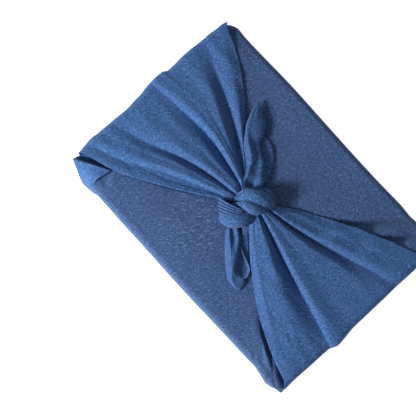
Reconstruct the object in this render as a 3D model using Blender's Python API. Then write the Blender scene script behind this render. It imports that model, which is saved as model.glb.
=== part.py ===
"""Square cotton wrapping cloth round a flat box, carried by one central knot.

Two opposite corners of the cloth lie plainly over the long sides of the box.
The other two corners are gathered from the short ends into folded fans, meet
in one knot in the middle and end in two free ears.  Everything is one cut
piece of cloth, so everything is one solid, named wrapping_cloth.

Lengths in the tables are millimetres.  X runs along the long side of the
parcel, Y along the short side, Z is up and the parcel stands on Z = 0.
"""
import math

import bmesh
import bpy
import numpy as np

MM = 0.001

# Driving sizes of the wrapped parcel
HALF_LENGTH = 159.0      # middle to the short end walls
HALF_WIDTH = 109.5       # middle to the long side walls
FLAT_TOP = 45.0          # height of the plain panels over the table
EDGE_ROUND = 6.5         # softness of the upper edges
FOOT_ROUND = 4.0         # softness of the lower edges
HEM_STEP = 1.3           # width of the step where a fan ends on a panel
FOLD_STEPS = 5           # strips between two neighbouring fold lines
PANEL_STEPS = 3          # strips between two neighbouring panel points
KNOT_RISE = 6.0          # panels rise this much where they enter the knot
KNOT_RISE_REACH = 0.16   # share of a panel line taken up by that rise
CORE_HEIGHT = 53.0       # height of the cloth hidden below the knot
CORE_SPOT = (-5.0, -3.0)

# Rings of the top surface, as a share of the way from knot to edge
RINGS = (0.0, 0.05, 0.11, 0.18, 0.26, 0.35, 0.45, 0.55, 0.65, 0.75, 0.84, 0.92, 1.0)
# Rings of the rounded edge, wall and foot: height share and outward share
EDGE_TURNS = (22.5, 45.0, 67.5, 90.0)
WALL_HEIGHTS = (0.75, 0.50, 0.25)
FOOT_TURNS = (0.0, 45.0, 90.0)
FOLD_SPREAD = 0.25       # end wall folds lean outward by this share at the foot
FOLD_FADE = 0.7          # end wall folds lose this share of their depth at the foot
FOOT_LIMITS = (156.0, 107.0)   # half length and half width of the foot
BOW_FADE = 3             # how soon panel lines lose the curve of the fan beside them
RIM_PULL = 3             # how locally a line bends to meet the rounded edge

# Distance of the table columns from the middle of the parcel
LEFT_REACH = (158.0, 120.0, 80.0, 40.0, 22.0)
RIGHT_REACH = (158.0, 120.0, 80.0, 40.0, 12.0)

# Fan over the left end.  One row for each fold line, from the low edge of the
# fan to its high edge:
# name, Y at the five reaches, lift over the flat top there, push of the end
# wall, crispness (0 soft, 1 pointed)
LEFT_FOLDS = (
    ("low_hem", -96, -82, -60, -33, -20, 1.8, 2.6, 4.0, 6.5, 9.0, 0.0, 0.8),
    ("low_hollow", -84, -70, -46, -24, -17, 1.2, 1.4, 2.0, 4.0, 8.0, -0.5, 0.1),
    ("low_ridge", -75, -62, -38, -21, -15, 1.8, 4.0, 6.2, 8.0, 10.5, 0.3, 0.6),
    ("second_hollow", -52, -42, -27, -15, -10, 1.0, 1.8, 2.2, 4.5, 8.0, -1.0, 0.1),
    ("soft_ridge", -29, -25, -15, -7, -4, 2.0, 3.8, 5.4, 8.2, 11.5, -2.0, 0.2),
    ("deep_hollow", 1, 10, 11, 5.5, 1.5, 1.6, 0.8, 0.9, 2.6, 7.0, 2.4, 0.3),
    ("main_crease", 14, 14.5, 14.5, 8.5, 4, 3.2, 5.6, 8.2, 10.6, 12.5, 2.8, 0.9),
    ("shoulder", 56, 49, 32, 15, 7, 2.2, 4.8, 6.6, 8.6, 11.0, 0.5, 0.4),
    ("last_hollow", 79, 59, 38, 17, 8.5, 0.8, 1.0, 1.4, 2.4, 7.0, 0.2, 0.1),
    ("last_ridge", 98, 78, 55, 22.5, 10, 1.6, 3.6, 5.2, 6.2, 9.0, 0.4, 0.4),
    ("high_hem", 104, 89, 62, 26, 12, 0.6, 1.2, 1.6, 2.4, 6.0, 0.0, 0.5),
)

# Fan over the right end, from its low edge to its high edge
RIGHT_FOLDS = (
    ("low_hem", -104, -88, -66, -40, -16, 1.6, 1.8, 2.4, 3.6, 8.0, 0.0, 0.8),
    ("broad_ridge", -92, -78, -57, -30, -13, 2.4, 4.6, 6.2, 8.0, 10.5, -1.5, 0.2),
    ("deep_hollow", -50, -43, -28, -13.5, -4, 0.8, 0.6, 1.0, 3.2, 7.5, 0.6, 0.1),
    ("main_crease", -35, -28, -19.5, -8, -1.5, 2.8, 5.6, 7.6, 9.6, 12.0, 2.8, 0.9),
    ("flat_ridge", 19, 16, 16, 7.5, 3, 1.6, 3.4, 5.0, 7.6, 11.0, -0.5, 0.2),
    ("upper_hollow", 45, 35, 22, 10.5, 5, 1.0, 0.8, 1.2, 3.4, 8.0, -0.8, 0.2),
    ("upper_ridge", 59, 41, 30, 17.5, 7, 1.8, 4.8, 6.2, 8.0, 10.0, -0.6, 0.7),
    ("high_hem", 89, 74, 54, 30, 9, 1.2, 1.6, 1.8, 2.8, 7.0, -0.8, 0.8),
)

# Rim of the two plain panels.  Each row: name, X, Y, drop of the top surface
# at the rim, share of the panel line at which that drop begins
HIGH_RIM = (
    ("corner_tip", -156, 106, 3.0, 0.90),
    ("corner_lobe", -147, 111, 2.0, 0.90),
    ("lobe_end", -137, 110, 1.0, 0.90),
    ("side_left", -100, 110.5, 0.0, 0.90),
    ("side_quarter", -50, 109.5, 0.0, 0.90),
    ("side_middle", 0, 109, 0.0, 0.90),
    ("side_far", 50, 108, 0.0, 0.90),
    ("side_right", 100, 108, 0.4, 0.90),
    ("corner_hollow", 130, 108.5, 1.2, 0.75),
    ("corner_edge", 148, 109, 1.0, 0.85),
    ("corner_tip", 157, 105, 2.0, 0.88),
)
LOW_RIM = (
    ("corner_pocket", -158, -101, 13.0, 0.86),
    ("corner_tip", -157, -105, 12.0, 0.84),
    ("corner_face", -147, -108, 9.0, 0.84),
    ("corner_fold", -133, -111, 6.0, 0.88),
    ("panel_corner", -124, -110, 1.0, 0.93),
    ("side_left", -95, -108.5, 0.0, 0.90),
    ("side_quarter", -50, -109.5, 0.0, 0.90),
    ("side_middle", 0, -110.5, 0.0, 0.90),
    ("side_far", 50, -110, 0.0, 0.90),
    ("side_right", 100, -108, 0.4, 0.90),
    ("ear_start", 124, -107.5, 2.0, 0.90),
    ("ear_lobe", 138, -112, 5.0, 0.90),
    ("ear_end", 150, -112, 6.0, 0.90),
    ("corner_tip", 157.5, -109, 5.0, 0.92),
)

# Bands of the knot: X and Y from KNOT_PLACE, Z, half width, half thickness,
# roll in degrees
KNOT_PLACE = np.array([4.5, -1.5, 0.0])
UPPER_LOBE = (
    (-16, -15, 50, 4.5, 4.0, 0),
    (-11, -6, 56, 7.5, 6.0, -10),
    (-4, 4, 61, 9.5, 7.5, -12),
    (5, 10, 63, 10.0, 8.0, 0),
    (12, 8, 59, 8.0, 7.0, 10),
    (17, 0, 51, 5.0, 4.5, 10),
)
MIDDLE_BAND = (
    (-15, -14, 54, 3.0, 3.0, 0),
    (-8, -10, 60, 4.5, 4.5, 0),
    (0, -6.5, 63.4, 5.5, 5.2, 0),
    (8, -3.6, 62.4, 5.5, 4.8, 0),
    (15, 1, 55, 3.5, 3.5, 0),
)
LOWER_LOBE = (
    (13, -10, 53, 5.0, 4.5, 0),
    (5, -17, 59, 7.5, 7.0, 0),
    (-3, -23, 60, 9.5, 8.5, 0),
    (-10, -27, 56, 11.0, 8.5, 0),
    (-15, -30, 50, 10.5, 6.5, 0),
    (-18, -32, 46, 8.0, 4.0, 0),
)
BACK_TUCK = (
    (-6, 12, 49, 4.0, 3.0, 0),
    (3, 18, 52, 4.5, 3.5, 0),
    (12, 16, 52, 4.5, 3.5, 0),
    (18, 8, 48, 3.5, 3.0, 0),
)
BAND_SIDES = 12
BAND_STEPS = 3
KNOT_CORE = ((-2.0, -7.0, 50.0), (17.0, 17.0, 9.0))

# Free ears: left rim X, Y, Z, right rim X, Y, Z, arch height of the cloth
# between them, lean of the arch to the left rim (0) or right rim (1)
UPPER_EAR = (
    (-14, 1, 52, 4, 10, 52, 8.0, 0.5),
    (-22, 8, 49, -4, 20, 51, 9.0, 0.5),
    (-27, 17, 48, -13, 32, 51, 8.5, 0.4),
    (-40, 24, 48, -29, 43, 51, 8.0, 0.3),
    (-53, 36, 48, -43, 55, 51, 7.5, 0.3),
    (-64, 51, 48, -52, 66, 50, 6.5, 0.3),
    (-71, 65, 49, -64, 72, 49, 3.5, 0.4),
    (-75, 77, 49, -73, 79, 48.5, 1.0, 0.5),
)
LOWER_EAR = (
    (-2, -31, 50, 12, -18, 50, 8.0, 0.5),
    (4, -38, 48, 16, -27, 49, 8.0, 0.3),
    (13, -47, 47, 24, -36, 50, 7.0, 0.3),
    (23, -57, 47, 35, -44, 50, 6.5, 0.3),
    (31, -65, 47, 45, -50, 50, 6.0, 0.3),
    (39, -71, 47, 51, -59, 49, 5.0, 0.3),
    (48, -74, 47, 55, -67, 48, 3.0, 0.4),
    (56, -73, 46.5, 58, -71, 46.5, 1.0, 0.5),
)
SPECK_FACES = 8          # a loose group of this many faces or fewer is a speck
EAR_THICK = 2.4
EAR_STEPS = 2
EAR_SIDES = 8
EAR_SINK = 1.6           # ears are pressed this far into the cloth below

CLOTH_COLOUR = (0.07, 0.16, 0.36, 1.0)


def clear_file():
    for item in list(bpy.data.objects):
        bpy.data.objects.remove(item, do_unlink=True)


def curve(stations, values, at):
    """Smooth curve through the stations, read at the places given."""
    x = np.asarray(stations, float)
    y = np.asarray(values, float)
    if x[0] > x[-1]:
        x = x[::-1]
        y = y[::-1]
    slope = np.gradient(y, x)
    at = np.clip(np.asarray(at, float), x[0], x[-1])
    i = np.clip(np.searchsorted(x, at) - 1, 0, len(x) - 2)
    gap = x[i + 1] - x[i]
    u = (at - x[i]) / gap
    low = (1 + 2 * u) * (1 - u) ** 2 * y[i] + u * (1 - u) ** 2 * gap * slope[i]
    high = u ** 2 * (3 - 2 * u) * y[i + 1] - u ** 2 * (1 - u) * gap * slope[i + 1]
    return low + high


def ease(start, end, crisp_start, crisp_end, u):
    """Height between two fold lines, level or pointed at each of them."""
    rise = end - start
    bend = u * (1 - u) ** 2 * crisp_start - u ** 2 * (1 - u) * crisp_end
    return start + rise * (u ** 2 * (3 - 2 * u) + bend)


def fan_lines(folds, reach, side):
    """Lines of one fan from its low edge to its high edge.

    Each line holds the plan points and heights of all rings, the rim point
    and the height of the rim."""
    share = np.array(RINGS)
    run = reach[-1] + (HALF_LENGTH - EDGE_ROUND - reach[-1]) * share
    rows = []
    for row in folds:
        along = curve(reach, row[1:6], run)
        lift = curve(reach, row[6:11], run)
        rows.append((along, lift, row[1], row[11], row[12]))
    lines = []
    for low, high in zip(rows[:-1], rows[1:]):
        for step in range(FOLD_STEPS):
            u = step / FOLD_STEPS
            lines.append(blend_rows(low, high, u, run, side))
    lines.append(blend_rows(rows[-1], rows[-1], 0.0, run, side))
    return lines


def blend_rows(low, high, u, run, side):
    along = low[0] * (1 - u) + high[0] * u
    lift = ease(low[1], high[1], low[4], high[4], u)
    rim_y = low[2] * (1 - u) + high[2] * u
    push = ease(low[3], high[3], 0.0, 0.0, u)
    plan = np.stack([side * run, along], axis=1)
    rim = np.array([side * (HALF_LENGTH + push), rim_y])
    plan = meet_edge(plan, rim)
    return {"plan": plan, "height": FLAT_TOP + lift, "rim": rim, "side": side, "push": push}


def hem_foot(line, shift):
    """Foot of the step where a fan ends: same line, moved out, on the panel."""
    plan = line["plan"] + np.array([0.0, shift])
    rise = KNOT_RISE * np.clip(1 - np.array(RINGS) / KNOT_RISE_REACH, 0, 1) ** 2
    rim = line["rim"] + np.array([0.0, shift])
    return {"plan": plan, "height": FLAT_TOP + rise, "rim": rim, "side": 0, "push": 0.0}


def panel_lines(rim_rows, start, end, inner_bulge):
    """Lines of a plain panel between the feet of the two fans."""
    share = np.array(RINGS)
    rim_points = [start["rim"]]
    drops = [0.0]
    starts = [0.9]
    for row in rim_rows:
        rim_points.append(np.array(row[1:3], float))
        drops.append(row[3])
        starts.append(row[4])
    rim_points.append(end["rim"])
    drops.append(0.0)
    starts.append(0.9)
    index = np.arange(len(rim_points))
    places = np.arange((len(rim_points) - 1) * PANEL_STEPS + 1) / PANEL_STEPS
    rims = np.stack([curve(index, [p[k] for p in rim_points], places) for k in (0, 1)], axis=1)
    drop = np.interp(places, index, drops)
    begin = np.interp(places, index, starts)
    way = np.concatenate([[0.0], np.cumsum(np.linalg.norm(np.diff(rims, axis=0), axis=1))])
    lines = []
    for i in range(1, len(places) - 1):
        turn = way[i] / way[-1]
        inner = start["plan"][0] * (1 - turn) + end["plan"][0] * turn
        inner = inner + np.array([0.0, inner_bulge * math.sin(math.pi * turn)])
        plan = inner + (inset(rims[i], EDGE_ROUND) - inner) * share[:, None]
        plan = plan + bow(start) * (1 - turn) ** BOW_FADE + bow(end) * turn ** BOW_FADE
        rise = KNOT_RISE * np.clip(1 - share / KNOT_RISE_REACH, 0, 1) ** 2
        fall = drop[i] * np.clip((share - begin[i]) / (1 - begin[i]), 0, 1)
        height = FLAT_TOP + rise - fall
        lines.append({"plan": plan, "height": height, "rim": rims[i], "side": 0, "push": 0.0})
    return lines


def bow(line):
    """Sideways curve of a line, measured from the straight way to its rim."""
    share = np.array(RINGS)[:, None]
    straight = line["plan"][0] * (1 - share) + line["plan"][-1] * share
    return line["plan"] - straight


def unit(vector):
    return vector / max(1e-9, float(np.linalg.norm(vector)))


def inset(point, distance):
    """A plan point moved in from the outline by one distance on all sides."""
    return point * (1 - distance / np.array([HALF_LENGTH, HALF_WIDTH]))


def meet_edge(plan, rim):
    """Top points of one line, bent near the rim to end at the rounded edge."""
    goal = inset(rim, EDGE_ROUND)
    return plan + (goal - plan[-1]) * (np.array(RINGS) ** RIM_PULL)[:, None]


def wall_push(line, end_walls, drop_share):
    """How far a fold of the fan stands out at this depth of the end wall."""
    if line["side"] == 0:
        return 0.0
    places, pushes = end_walls[line["side"]]
    place = line["rim"][1] * (1 - FOLD_SPREAD * drop_share)
    push = float(np.interp(place, places, pushes))
    return push * (1 - FOLD_FADE * drop_share) - line["push"]


def wall_points(line, end_walls):
    """Rounded edge, wall and foot below one rim point, from top to bottom."""
    rim = line["rim"]
    top_height = line["height"][-1]
    points = []
    for turn in EDGE_TURNS:
        angle = math.radians(turn)
        height = top_height - EDGE_ROUND * (1 - math.cos(angle))
        points.append((inset(rim, EDGE_ROUND * (1 - math.sin(angle))), height))
    wall_top = top_height - EDGE_ROUND
    foot = rim * min(1.0, float(np.min(np.array(FOOT_LIMITS) / np.abs(rim))))
    for share in WALL_HEIGHTS:
        height = FOOT_ROUND + (wall_top - FOOT_ROUND) * share
        ground = foot * (1 - share) ** 2 + rim * (1 - (1 - share) ** 2)
        push = wall_push(line, end_walls, 1 - share)
        points.append((ground + np.array([line["side"] * push, 0.0]), height))
    for turn in FOOT_TURNS:
        angle = math.radians(turn)
        height = FOOT_ROUND * (1 - math.sin(angle))
        points.append((inset(foot, FOOT_ROUND * (1 - math.cos(angle))), height))
    return points


def build_mesh(name, points, faces):
    mesh = bpy.data.meshes.new(name)
    mesh.from_pydata([tuple(MM * c for c in p) for p in points], [], faces)
    mesh.validate()
    piece = bpy.data.objects.new(name, mesh)
    bpy.context.scene.collection.objects.link(piece)
    return piece


def parcel_body():
    """The cloth over the box: two fans, two plain panels, walls and foot."""
    left = fan_lines(LEFT_FOLDS, LEFT_REACH, -1)
    right = fan_lines(RIGHT_FOLDS, RIGHT_REACH, 1)
    left_low = hem_foot(left[0], -HEM_STEP)
    left_high = hem_foot(left[-1], HEM_STEP)
    right_low = hem_foot(right[0], -HEM_STEP)
    right_high = hem_foot(right[-1], HEM_STEP)
    lines = [left_low]
    lines += panel_lines(LOW_RIM, left_low, right_low, -9.0)
    lines += [right_low] + right + [right_high]
    high = panel_lines(HIGH_RIM, left_high, right_high, 9.0)
    lines += high[::-1]
    lines += [left_high] + left[::-1]
    end_walls = {}
    for side, fan in ((-1, left), (1, right)):
        places = [line["rim"][1] for line in fan]
        end_walls[side] = (places, [line["push"] for line in fan])
    columns = []
    for line in lines:
        column = []
        for spot, height in zip(line["plan"], line["height"]):
            column.append((spot[0], spot[1], height))
        for spot, height in wall_points(line, end_walls):
            column.append((spot[0], spot[1], height))
        columns.append(column)
    depth = len(columns[0])
    count = len(columns)
    points = [point for column in columns for point in column]
    faces = []
    for i in range(count):
        a = i * depth
        b = ((i + 1) % count) * depth
        for j in range(depth - 1):
            faces.append((a + j, a + j + 1, b + j + 1, b + j))
    points.append((CORE_SPOT[0], CORE_SPOT[1], CORE_HEIGHT))
    centre = len(points) - 1
    for i in range(count):
        faces.append((centre, i * depth, ((i + 1) % count) * depth))
    points.append((0.0, 0.0, 0.0))
    bottom = len(points) - 1
    for i in range(count):
        faces.append((bottom, ((i + 1) % count) * depth + depth - 1, i * depth + depth - 1))
    return build_mesh("wrapping_cloth", points, faces)


def band(name, rows):
    """Closed roll of cloth through the rows of a knot table."""
    table = np.array(rows, float)
    index = np.arange(len(table))
    at = np.linspace(0, len(table) - 1, (len(table) - 1) * BAND_STEPS + 1)
    data = np.stack([curve(index, table[:, k], at) for k in range(6)], axis=1)
    points = []
    for i, row in enumerate(data):
        ahead = data[min(i + 1, len(data) - 1), :3]
        behind = data[max(i - 1, 0), :3]
        forward = unit(ahead - behind)
        across = unit(np.cross(forward, (0.0, 0.0, 1.0)))
        up = np.cross(across, forward)
        roll = math.radians(row[5])
        wide = across * math.cos(roll) + up * math.sin(roll)
        thick = up * math.cos(roll) - across * math.sin(roll)
        for k in range(BAND_SIDES):
            angle = 2 * math.pi * k / BAND_SIDES
            offset = wide * row[3] * math.cos(angle) + thick * row[4] * math.sin(angle)
            points.append(tuple(KNOT_PLACE + row[:3] + offset))
    return build_mesh(name, points, tube_faces(len(data), BAND_SIDES))


def tube_faces(rings, sides):
    faces = []
    for i in range(rings - 1):
        for k in range(sides):
            a = i * sides + k
            b = i * sides + (k + 1) % sides
            faces.append((a, a + sides, b + sides, b))
    faces.append(tuple(range(sides)))
    last = (rings - 1) * sides
    faces.append(tuple(last + k for k in reversed(range(sides))))
    return faces


def ear(name, rows):
    """Arched strip of cloth between the two rims of an ear table."""
    table = np.array(rows, float)
    index = np.arange(len(table))
    at = np.linspace(0, len(table) - 1, (len(table) - 1) * EAR_STEPS + 1)
    data = np.stack([curve(index, table[:, k], at) for k in range(8)], axis=1)
    points = []
    for row in data:
        low = row[:3] - np.array([0.0, 0.0, EAR_SINK])
        high = row[3:6] - np.array([0.0, 0.0, EAR_SINK])
        outer = []
        inner = []
        for k in range(EAR_SIDES + 1):
            u = k / EAR_SIDES
            peak = 0.5 + (row[7] - 0.5) * 0.6
            bow = arch(u, peak)
            spot = low * (1 - u) + high * u
            outer.append(spot + np.array([0.0, 0.0, row[6] * bow + 0.5 * EAR_THICK]))
            inner_bow = max(0.0, row[6] * bow - 0.5 * EAR_THICK)
            inner.append(spot + np.array([0.0, 0.0, inner_bow - 0.5 * EAR_THICK]))
        points += [tuple(p) for p in outer + inner[::-1]]
    return build_mesh(name, points, tube_faces(len(data), 2 * (EAR_SIDES + 1)))


def arch(u, peak):
    if u < peak:
        return math.sin(0.5 * math.pi * u / peak)
    return math.sin(0.5 * math.pi * (1 - u) / (1 - peak))


def knot_core():
    middle, radii = KNOT_CORE
    centre = KNOT_PLACE + np.array(middle)
    rings = 8
    points = []
    for i in range(1, rings):
        tilt = math.pi * i / rings
        for k in range(BAND_SIDES):
            angle = 2 * math.pi * k / BAND_SIDES
            points.append((
                centre[0] + radii[0] * math.sin(tilt) * math.cos(angle),
                centre[1] + radii[1] * math.sin(tilt) * math.sin(angle),
                centre[2] + radii[2] * math.cos(tilt),
            ))
    return build_mesh("knot_core", points, tube_faces(rings - 1, BAND_SIDES))


def make_outward(piece):
    bpy.context.view_layer.objects.active = piece
    piece.select_set(True)
    bpy.ops.object.mode_set(mode="EDIT")
    bpy.ops.mesh.select_all(action="SELECT")
    bpy.ops.mesh.normals_make_consistent(inside=False)
    bpy.ops.object.mode_set(mode="OBJECT")
    piece.select_set(False)


def join_all(body, pieces):
    """Unite the closed pieces with the cloth body in one step."""
    group = bpy.data.collections.new("knot_pieces")
    for piece in pieces:
        make_outward(piece)
        group.objects.link(piece)
    union = body.modifiers.new("knot_union", "BOOLEAN")
    union.operation = "UNION"
    union.solver = "EXACT"
    union.operand_type = "COLLECTION"
    union.collection = group
    bpy.context.view_layer.objects.active = body
    bpy.ops.object.modifier_apply(modifier=union.name)
    for piece in pieces:
        bpy.data.objects.remove(piece, do_unlink=True)
    bpy.data.collections.remove(group)


def drop_specks(piece):
    """Remove the specks, a few faces each, that a union can leave on its seam."""
    work = bmesh.new()
    work.from_mesh(piece.data)
    left = set(work.faces)
    specks = []
    while left:
        start = left.pop()
        group = [start]
        queue = [start]
        while queue:
            face = queue.pop()
            for edge in face.edges:
                for other in edge.link_faces:
                    if other in left:
                        left.discard(other)
                        group.append(other)
                        queue.append(other)
        if len(group) <= SPECK_FACES:
            specks += group
    bmesh.ops.delete(work, geom=specks, context="FACES")
    work.to_mesh(piece.data)
    work.free()


def cloth_material():
    material = bpy.data.materials.new("blue_cotton")
    material.use_nodes = True
    shader = material.node_tree.nodes["Principled BSDF"]
    shader.inputs["Base Color"].default_value = CLOTH_COLOUR
    shader.inputs["Roughness"].default_value = 0.85
    return material


def main():
    clear_file()
    body = parcel_body()
    make_outward(body)
    join_all(body, [
        knot_core(),
        band("lower_lobe", LOWER_LOBE),
        band("upper_lobe", UPPER_LOBE),
        band("middle_band", MIDDLE_BAND),
        band("back_tuck", BACK_TUCK),
        ear("upper_ear", UPPER_EAR),
        ear("lower_ear", LOWER_EAR),
    ])
    drop_specks(body)
    body.data.materials.clear()
    body.data.materials.append(cloth_material())
    for face in body.data.polygons:
        face.use_smooth = True


main()
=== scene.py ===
"""Visual model of the furoshiki wrap: blue cotton folded round a flat box.

Tables are in millimetres in the row frame: X along the long side of the
parcel, Y along the short side, Z up from the surface that it lies on.
"""
import math

import bpy
import numpy as np
from mathutils import Matrix, Vector


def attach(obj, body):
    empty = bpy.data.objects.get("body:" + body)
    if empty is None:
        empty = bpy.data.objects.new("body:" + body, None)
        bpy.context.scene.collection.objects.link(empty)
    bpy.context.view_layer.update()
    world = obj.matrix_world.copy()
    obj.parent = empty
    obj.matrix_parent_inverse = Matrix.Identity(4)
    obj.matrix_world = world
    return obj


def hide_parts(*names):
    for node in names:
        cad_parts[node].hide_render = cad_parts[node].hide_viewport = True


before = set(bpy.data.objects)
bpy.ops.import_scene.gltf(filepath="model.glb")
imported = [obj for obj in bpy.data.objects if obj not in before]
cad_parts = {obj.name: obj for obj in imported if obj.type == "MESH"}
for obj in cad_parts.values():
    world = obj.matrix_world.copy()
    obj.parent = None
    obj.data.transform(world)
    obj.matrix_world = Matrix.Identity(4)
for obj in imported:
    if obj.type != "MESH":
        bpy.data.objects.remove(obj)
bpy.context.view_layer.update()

MM = 0.001
TINY = 1e-6
NODE = "wrapping_cloth"

# Parcel: half sizes, flat top, rounding of its edges and foot, half sizes at
# the foot, thickness of a free end and least width of a sheet in metres
HALF_LENGTH = 159.0
HALF_WIDTH = 109.5
HALF_SIZE = np.array([HALF_LENGTH, HALF_WIDTH])
FLAT_TOP = 45.0
EDGE_ROUND = 6.5
FOOT_ROUND = 4.0
FAN_FOOT = np.array([155.5, 106.5])
CORE_FOOT = np.array([153.5, 106.3])
CLOTH_THICK = 0.7

# Camera: long lens, nearly overhead, turned to the photo's angle; the view is
# as many millimetres wide as the photo is pixels wide
CAMERA_TURN = 47.7
CAMERA_RISE = 81.0
CAMERA_AWAY = 1600.0
CAMERA_AIM = (-26.0, -37.4, 45.0)
SENSOR_WIDTH = 36.0
VIEW_WIDTH = 416.0

# Threads of the cloth run along and across the image
TURN = math.radians(CAMERA_TURN)
WEAVE_X = np.array([math.cos(TURN), math.sin(TURN)])
WEAVE_Y = np.array([-math.sin(TURN), math.cos(TURN)])

# Light: the key lamp's shares of image right, image up and overhead, its
# width and distance in metres; then the floor and the even light all round
KEY_TOWARD = (-0.93, -0.35, 0.56)
KEY_SIZE = 0.42
KEY_AWAY = 1.6
KEY_POWER = 35.0
WHITE = (1.0, 1.0, 1.0, 1.0)
FLOOR_REACH = 4.0
FLOOR_TONE = (0.92, 0.92, 0.92, 1.0)
# The floor glows: painted light that washes the parcel's shadow out of the floor and lights its walls
# from below
FLOOR_GLOW = 0.84
STUDIO_LIGHT = 0.27

# Cloth tones: red, green and blue of the threads, and what brightens or
# darkens them for the dark and the light threads and the uneven dye
# The four tones are copies of the one cloth. The fan tone is lighter and bluer, and the panel, low and
# knot tones are darker and greyer: painted light and shade for how the lamp falls on each piece
FAN_TONE = (0.050, 0.128, 0.320)
PANEL_TONE = (0.052, 0.106, 0.241)
LOW_TONE = (0.047, 0.097, 0.227)
KNOT_TONE = (0.046, 0.116, 0.285)
PALE_THREAD = (0.27, 0.37, 0.54, 1.0)
DEEP_THREAD = (0.54, 0.54, 0.54)
LIGHT_THREAD = (1.48, 1.48, 1.48)
WARM_DYE = (1.14, 0.93, 0.97)

# Grain of the cloth in metres, and the place and scale of its slub patch
THREAD_PITCH = 0.0009
THREAD_GRAIN = 0.0015
FINE_GRAIN = 0.0008
SLUB_WIDTH = 0.0013
FLECK_SPACING = 0.0062
DYE_CLOUD = 0.040
SLUB_PLACE = (0.54, 1.44, 0.0)
SLUB_SIZE = (22.0, 22.0, 0.0)

# Sockets of the colour mix node, which share their names with other sockets
MIX_FIRST = 6
MIX_SECOND = 7
MIX_RESULT = 2

# Uneven relief: number of waves, what brings their sum to about -1 to 1, and
# heights on the panels, the ears and the corner folds
RIPPLE_WAVES = 9
RIPPLE_SHARE = 4.0
PANEL_RELIEF = 0.22
EAR_RELIEF = 0.16
CORNER_RELIEF = 0.2

# Fans: lines between two fold lines, and rings of the gathered end, the top,
# the rounded edge, the wall and the part where the rolled hem thins out
FAN_STRIPS = 12
GATHER_RINGS = 8
FAN_RINGS = 120
EDGE_RINGS = 12
WALL_RINGS = 26
TUCK_RINGS = 14

# Gathered ends below the knot: X, Y, Z they are drawn to, share that is left
GATHER_LEFT = (-4.5, -6.0, 49.0, 0.30)
GATHER_RIGHT = (0.0, -4.0, 49.0, 0.45)

# Fine relief of the fans: gathers round the knot, drifts and dents further out
GATHER_COUNT = 46
GATHER_WAVER = 2.4
GATHER_HEIGHT = 0.18
DRIFT_HEIGHT = 0.30
DENT_HEIGHT = 0.16

# End walls: height they end at, how their folds spread and fade towards it,
# how far they lean in, height of their relief and what is left of the roll
WALL_END = 1.0
FOLD_SPREAD = 0.25
FOLD_FADE = 0.7
WALL_LEAN = 0.6
WALL_RELIEF = 0.35
WALL_ROLL = 0.08

# Rolled hems: turns of the roll in degrees, the way back below the cloth, its
# radius, the grid line that shows the way out and the rise that is kept of it
ROLL_TURNS = (20, 45, 70, 95, 120, 150, 180)
ROLL_BACK = (3.0, 7.0, 12.0)
ROLL_SIZE = 1.1
ROLL_LOOK = 3
ROLL_TILT = 0.2

# Core: columns round it, rings of its top, edge and wall, share of its open
# middle, how far it lies below the flat top, turns of its foot in degrees,
# and the shares of the way out at which the underside has its rings
CORE_COLS = 420
CORE_RINGS = 105
CORE_EDGE_RINGS = 9
CORE_WALL_RINGS = 19
CORE_HOLE = 0.04
CORE_SINK = 0.8
FOOT_TURNS = (30, 60, 90)
UNDERSIDE_SHARES = (0.8, 0.5, 0.2, 0.02)

# Low flap: columns and rings, its lift over the core, swell, unevenness and
# lean of its wall, the rounding down to its edge and the width of that, the
# dip beside its left edge, how far its two ends sink, and its slope towards
# the right corner; rim rows below LOW_SIDE belong to its side
FLAP_COLS = 220
FLAP_WALL_RINGS = 22
FLAP_EDGE_RINGS = 11
FLAP_TOP_RINGS = 90
FLAP_LIFT = 0.9
FLAP_TOP = FLAT_TOP + FLAP_LIFT
FLAP_SWELL = 0.8
FLAP_WAVER = 0.3
FLAP_LEAN = 0.012
FLAP_CROWN = 3.6
CROWN_WIDTH = 42.0
FLAP_DIP = 1.6
DIP_PLACE = 8.0
DIP_WIDTH = 5.5
LEFT_END_FALL = 0.8
RIGHT_END_FALL = 4.5
FAR_SLOPE = 5.0
FAR_SPAN = (70.0, 145.0)
LOW_SIDE = -85

# Slit along the right fan's low hem: its depth and width, X over which it
# opens, X and Y of the hem, and a way along Y for each one across the hem
SLIT_DEPTH = 5.0
SLIT_WIDTH = 3.0
SLIT_OPENS = (75.0, 118.0)
HEM_X = (40.0, 80.0, 120.0, 158.0)
HEM_Y = (-40.0, -67.5, -88.0, -104.0)
HEM_SLANT = 1.15

# Bands of the knot: points round them, steps between two rows, rows over
# which their ends close, and how deep their pleats are
BAND_SIDES = 40
BAND_STEPS = 14
BAND_TAPER = 0.35
BAND_RUFFLES = {"knot_core": 0.0, "knot_upper": 0.018, "knot_lower": 0.014, "knot_middle": 0.015}
OTHER_RUFFLE = 0.03

# Ears and corner folds: steps between two sections and points across them
EAR_STEPS = 12
EAR_CROSS_STEPS = 10
CORNER_POINTS = 60

# Distances from the middle at which a fan's fold lines are given
LEFT_REACH = (158.0, 120.0, 80.0, 40.0, 22.0)
RIGHT_REACH = (158.0, 120.0, 80.0, 40.0, 12.0)

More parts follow.
